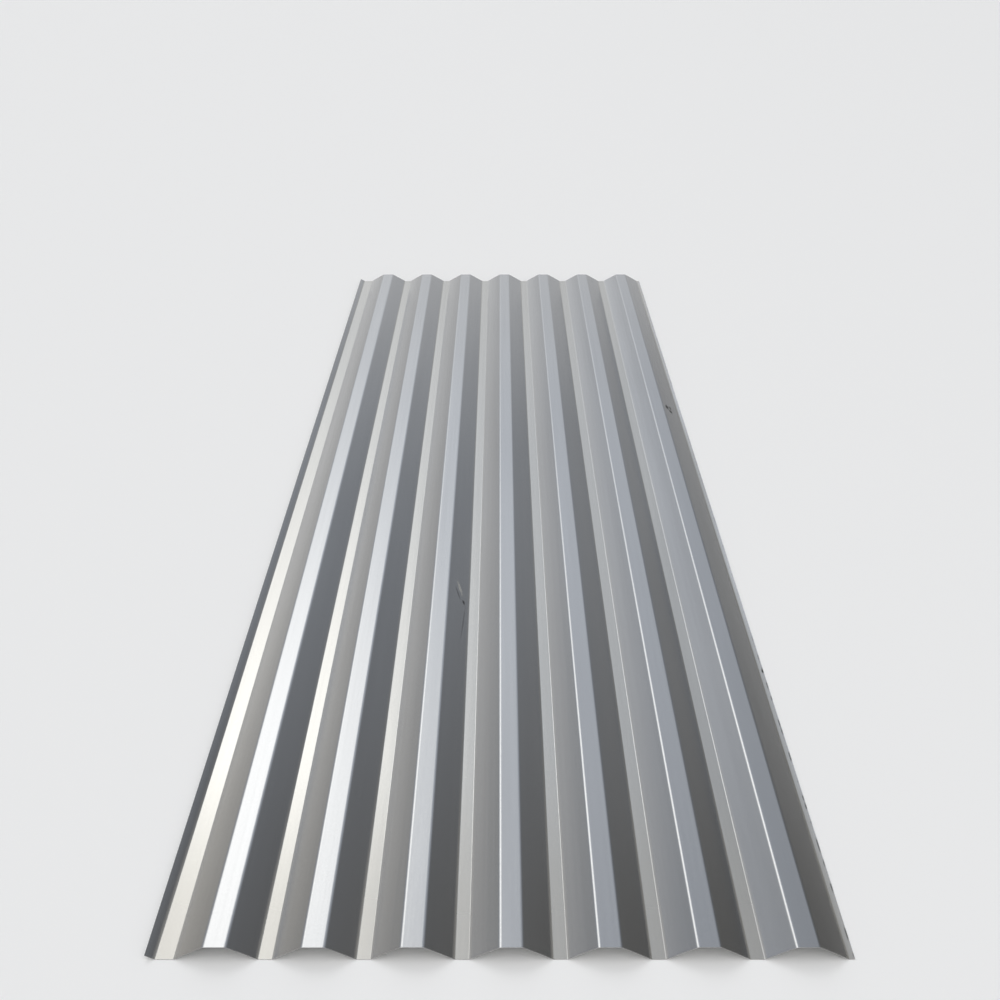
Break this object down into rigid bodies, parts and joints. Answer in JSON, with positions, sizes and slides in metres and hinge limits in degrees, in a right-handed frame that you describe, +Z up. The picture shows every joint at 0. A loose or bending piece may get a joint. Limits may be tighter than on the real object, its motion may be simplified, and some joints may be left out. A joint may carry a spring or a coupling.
{
  "type": "trapezoidal steel cladding sheet",
  "caption": "Roll-formed steel wall cladding sheet with trapezoidal ribs along its length and a lap flange down each side, in silver metallic paint.",
  "frame": {"origin": "middle of the sheet's footprint, at the level of the trough undersides that it rests on", "axes": "+Z up, out of the weather side; +Y along the ribs, towards the end that was the top in the picture; +X across the ribs, towards the narrow covering flange"},
  "size_m": [1.0236, 3, 0.0257],
  "materials": {
    "silver_paint": "glossy silver metallic coating"
  },
  "bodies": {
    "root": {"corrugated_sheet": "silver_paint"}
  },
  "joints": []
}
